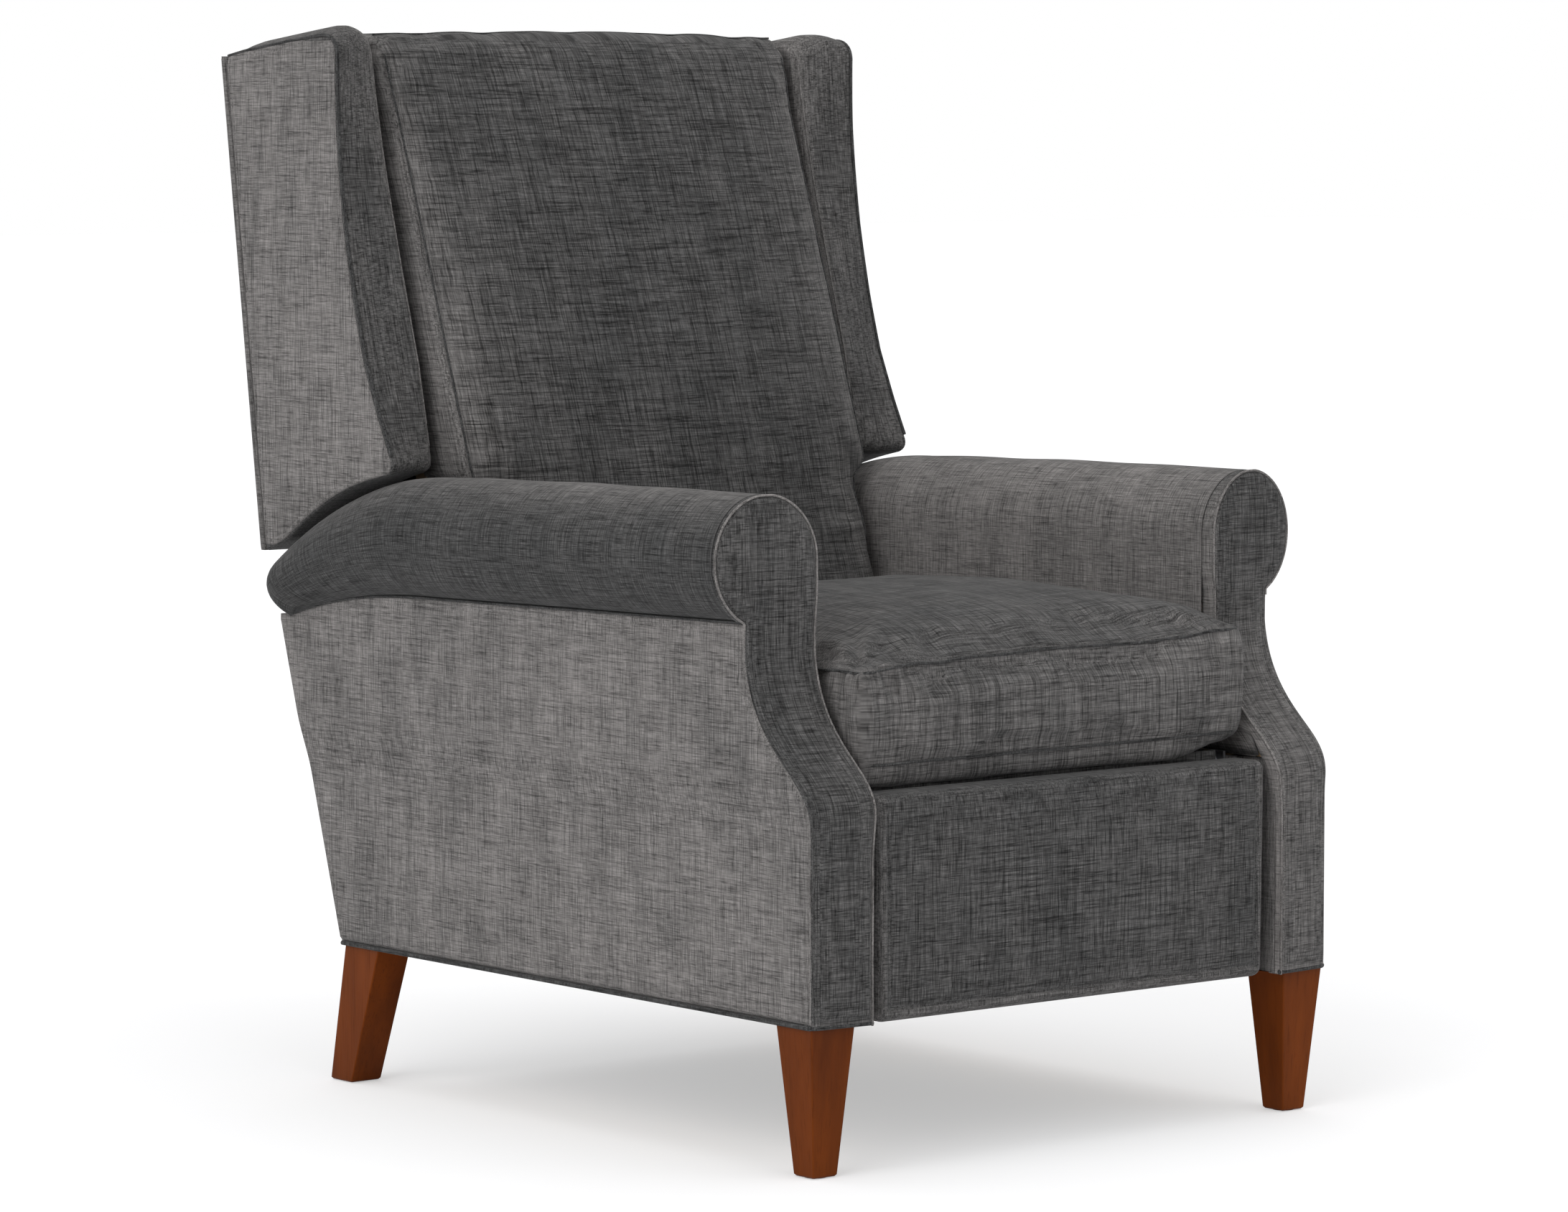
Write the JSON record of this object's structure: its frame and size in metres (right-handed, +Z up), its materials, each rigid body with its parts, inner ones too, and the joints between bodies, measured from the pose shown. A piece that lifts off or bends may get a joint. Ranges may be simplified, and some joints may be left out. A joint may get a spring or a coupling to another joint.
{
  "type": "high_leg_recliner",
  "caption": "High leg recliner with rolled, swept arms, a winged back, a loose boxed seat cushion, a fold-out footrest and tapered wooden legs, in charcoal woven cloth.",
  "frame": {"origin": "centre of the footprint, on the floor", "axes": "+X to the sitter's left, -Y to the front, +Z up"},
  "size_m": [0.762, 0.9952, 1.108],
  "materials": {
    "upholstery": "woven",
    "stained_wood": "satin",
    "frame_wood": "sanded",
    "steel": "zinc plated",
    "deck_cloth": "woven",
    "black_cloth": "woven",
    "glide_plastic": "moulded"
  },
  "bodies": {
    "base": {"left_side_frame": "frame_wood", "right_side_frame": "frame_wood", "front_rail": "frame_wood", "rear_rail": "frame_wood", "corner_blocks": "frame_wood", "left_outer_panel": "upholstery", "right_outer_panel": "upholstery", "left_inner_panel": "upholstery", "right_inner_panel": "upholstery", "left_front_panel": "upholstery", "right_front_panel": "upholstery", "left_arm_pad": "upholstery", "right_arm_pad": "upholstery", "rear_panel": "upholstery", "dust_cover": "black_cloth", "front_left_leg": "stained_wood", "front_right_leg": "stained_wood", "rear_left_leg": "stained_wood", "rear_right_leg": "stained_wood", "leg_bolts": "steel", "leg_glides": "glide_plastic", "left_side_plate": "steel", "right_side_plate": "steel", "seat_rails": "steel", "frame_pins": "steel", "back_pivot_bolts": "steel"},
    "seat": {"seat_frame": "frame_wood", "seat_runners": "steel", "seat_springs": "steel", "seat_deck": "deck_cloth", "seat_cushion": "upholstery"},
    "back": {"back_frame": "frame_wood", "back_webbing": "black_cloth", "back_cushion": "upholstery", "back_top_panel": "upholstery", "left_wing_core": "frame_wood", "right_wing_core": "frame_wood", "left_wing_pad": "upholstery", "right_wing_pad": "upholstery", "outside_back": "upholstery", "left_back_lever": "steel", "right_back_lever": "steel"},
    "drive_links": {"left_drive_link": "steel", "right_drive_link": "steel", "drive_pins": "steel", "drive_tube": "steel"},
    "lift_links": {"left_lift_link": "steel", "right_lift_link": "steel", "lift_pins": "steel"},
    "guide_links": {"left_guide_link": "steel", "right_guide_link": "steel"},
    "control_links": {"left_control_link": "steel", "right_control_link": "steel"},
    "footrest": {"footrest_board": "frame_wood", "footrest_pad": "upholstery", "left_footrest_bracket": "steel", "right_footrest_bracket": "steel", "bracket_pins": "steel"}
  },
  "joints": [
    {"name": "recline", "type": "hinge", "parent": "base", "child": "back", "pos_m": [0, 0.112, 0.2], "axis": [-1, 0, 0], "range_deg": [0, 24]},
    {"name": "seat_slide", "type": "slide", "parent": "base", "child": "seat", "axis": [0, 1, 0], "range_m": [0, 0.0601]},
    {"name": "footrest_open", "type": "hinge", "parent": "base", "child": "drive_links", "pos_m": [0, -0.418, 0.361], "axis": [-1, 0, 0], "range_deg": [0, 100.07]},
    {"name": "lift_fold", "type": "hinge", "parent": "drive_links", "child": "lift_links", "pos_m": [0, -0.35774, 0.17554], "axis": [1, 0, 0], "range_deg": [0, 143.9]},
    {"name": "footrest_turn", "type": "hinge", "parent": "lift_links", "child": "footrest", "pos_m": [0, -0.43599, 0.33498], "axis": [-1, 0, 0], "range_deg": [0, 133.9]},
    {"name": "guide_swing", "type": "hinge", "parent": "base", "child": "guide_links", "pos_m": [0, -0.3926, 0.3492], "axis": [-1, 0, 0], "range_deg": [0, 99.5]},
    {"name": "control_fold", "type": "hinge", "parent": "drive_links", "child": "control_links", "pos_m": [0, -0.36269, 0.15049], "axis": [1, 0, 0], "range_deg": [0, 143.4]}
  ],
  "couplings": [
    {"joint": "seat_slide", "follows": "recline", "m_per_rad": 0.1432},
    {"joint": "lift_fold", "follows": "footrest_open", "ratio": 1.4378},
    {"joint": "footrest_turn", "follows": "footrest_open", "ratio": 1.3371},
    {"joint": "guide_swing", "follows": "footrest_open", "ratio": 0.99266},
    {"joint": "control_fold", "follows": "footrest_open", "ratio": 1.4327}
  ]
}
